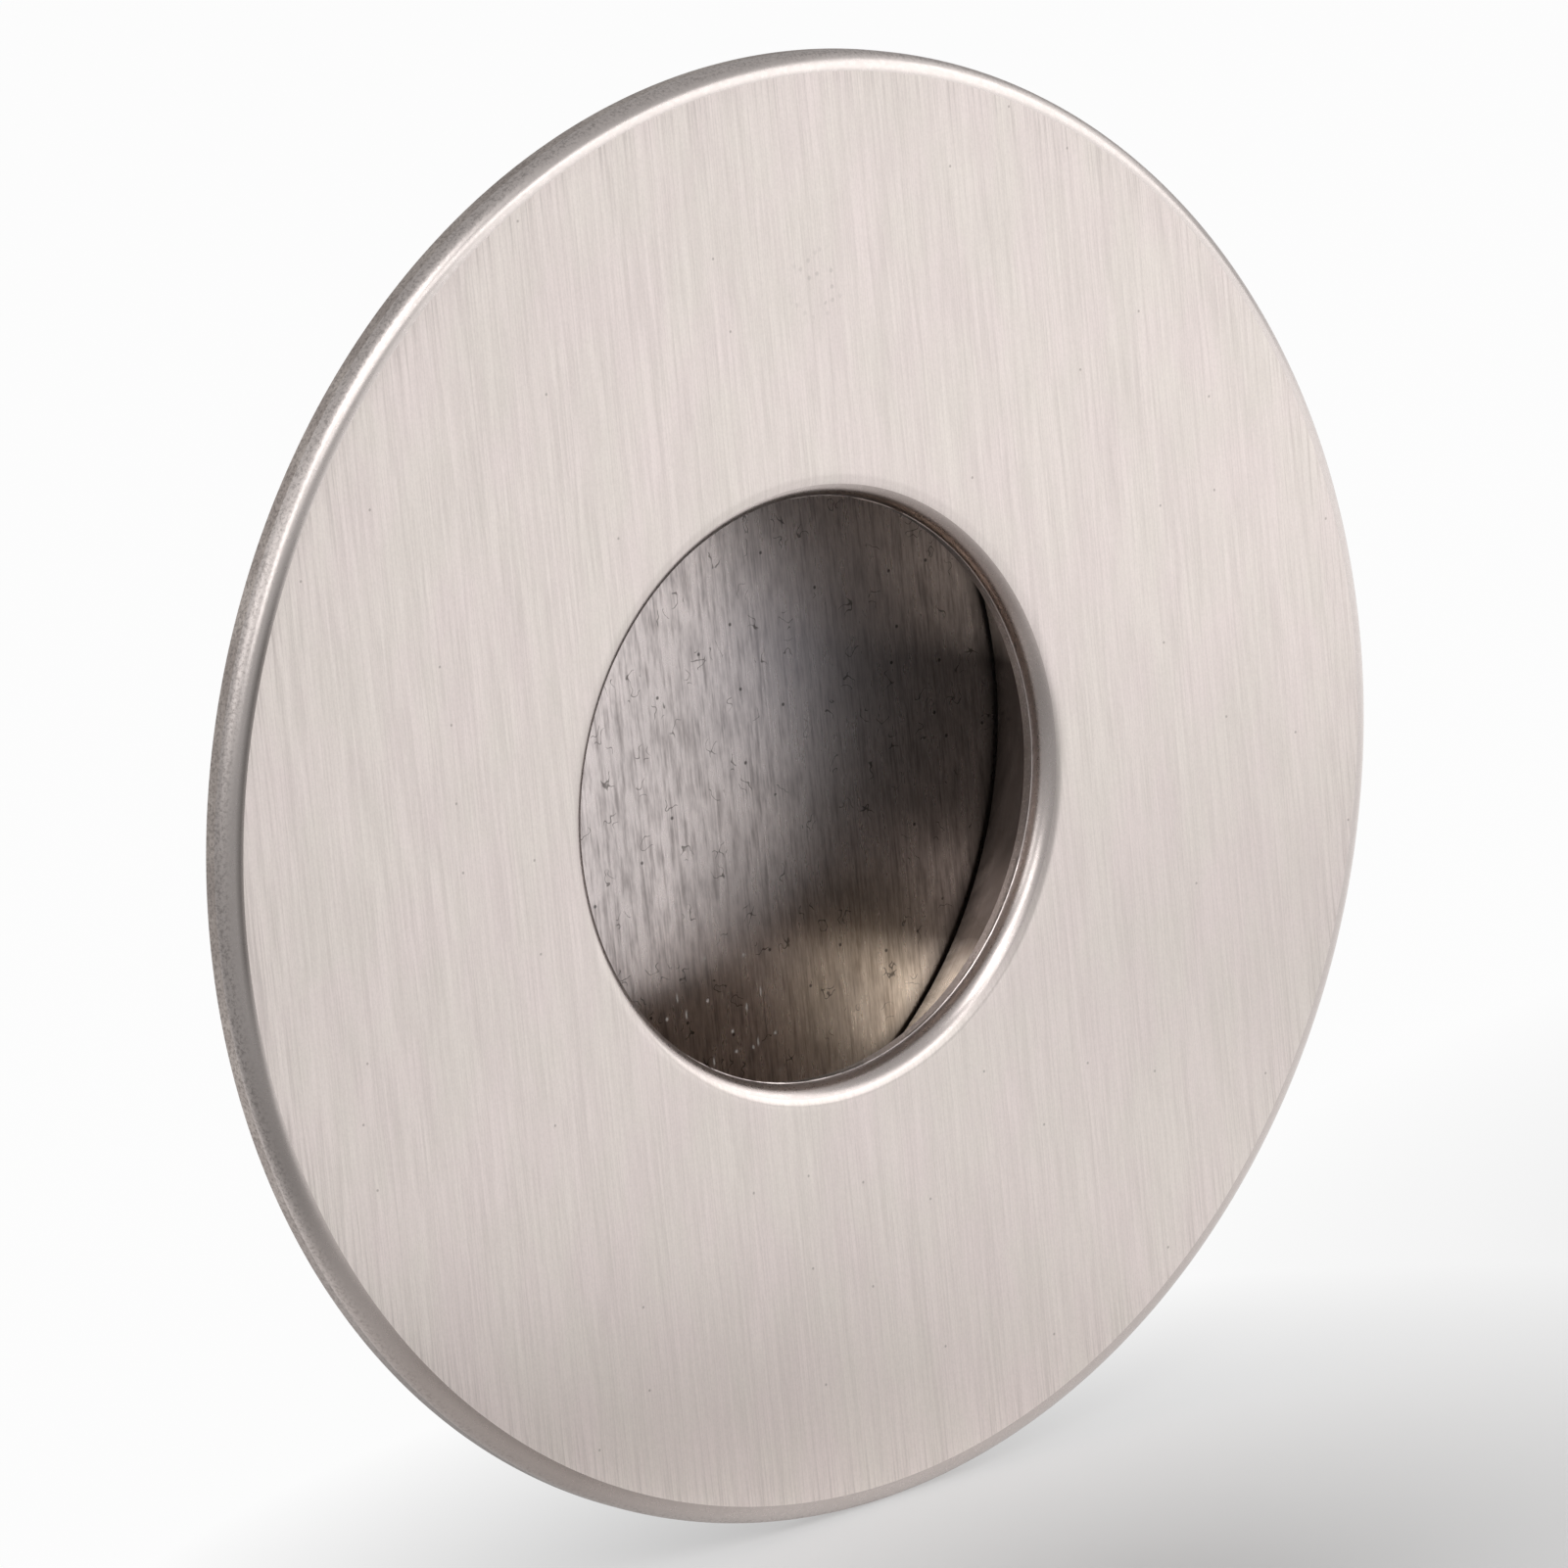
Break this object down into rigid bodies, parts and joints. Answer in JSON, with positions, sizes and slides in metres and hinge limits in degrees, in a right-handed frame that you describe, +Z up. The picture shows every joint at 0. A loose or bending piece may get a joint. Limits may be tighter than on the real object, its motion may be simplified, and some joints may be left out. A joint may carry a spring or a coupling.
{
  "type": "round recessed pull",
  "caption": "Round flush pull for a sliding door: a brushed steel plate with a round finger opening and a wider recessed cup behind it.",
  "frame": {"origin": "on the cup's axis, in the plane of the door's surface, which is the back of the front plate", "axes": "as mounted in an upright door: +Y along the cup's axis into the door, the front faces -Y, +Z up and along the brushing, +X to the right seen from the front"},
  "size_m": [0.06, 0.012, 0.06],
  "materials": {
    "brushed_plate": "fine upright linear brushing, with a smooth turned lip and edge",
    "satin_wall": "plain drawn tube, satin, not brushed",
    "brushed_floor": "coarser upright linear brushing, with fine scratches"
  },
  "bodies": {
    "root": {"front_plate": "brushed_plate", "cup_wall": "satin_wall", "floor_disc": "brushed_floor"}
  },
  "joints": []
}
